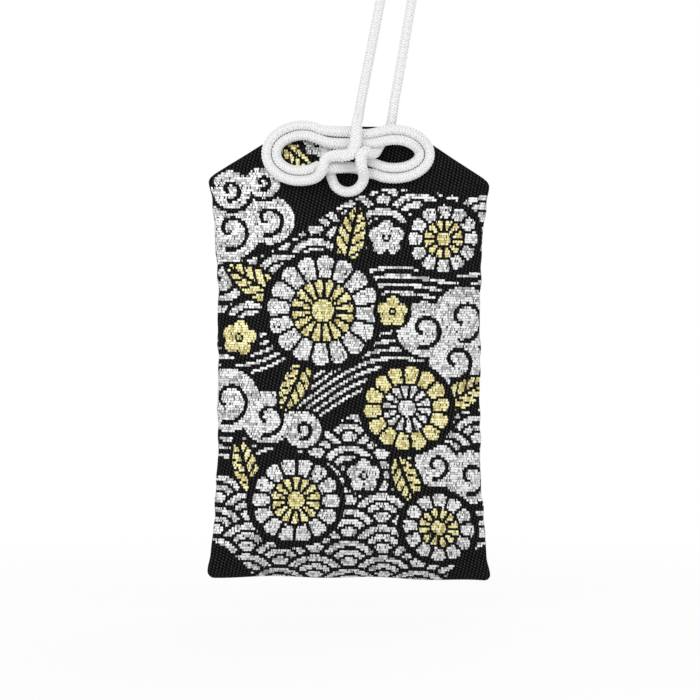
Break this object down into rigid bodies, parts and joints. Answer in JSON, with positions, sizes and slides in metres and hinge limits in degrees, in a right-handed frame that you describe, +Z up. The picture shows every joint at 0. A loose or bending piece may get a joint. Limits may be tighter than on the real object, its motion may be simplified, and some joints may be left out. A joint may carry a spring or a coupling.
{
  "type": "omamori charm",
  "caption": "Gabled brocade amulet pouch tied with a white braided cord bow under a hanging loop, holding a paper-wrapped wooden slip.",
  "frame": {"origin": "the point under the top of the hanging loop where a hook bears", "axes": "+Z up along the hanging pouch, -Y the figured front, +X to the right as seen from the front"},
  "size_m": [0.0502, 0.012, 0.1311],
  "materials": {
    "brocade": "black twill with silver and pale gold metallic weft floats",
    "lining": "plain matt lining cloth",
    "thread": "black sewing thread",
    "card": "uncoated grey card",
    "paper": "white mulberry paper",
    "wood": "planed cypress",
    "cord": "white round braid with a slight sheen"
  },
  "bodies": {
    "hanging_loop": {"hanging_loop": "cord"},
    "charm": {"brocade_cloth": "brocade", "lining": "lining", "side_seam_thread_left": "thread", "side_seam_thread_right": "thread", "core_card": "card", "knot_cord": "cord"},
    "talisman": {"talisman_wrapper": "paper", "talisman_slip": "wood"}
  },
  "joints": [
    {"name": "charm_swing", "type": "hinge", "parent": "hanging_loop", "child": "charm", "pos_m": [-0.00837, 0, -0.04512], "axis": [1, 0, 0], "range_deg": [-100, 100]},
    {"name": "talisman_slide", "type": "slide", "parent": "charm", "child": "talisman", "axis": [0, 0, 1], "range_m": [0, 0.008]}
  ]
}
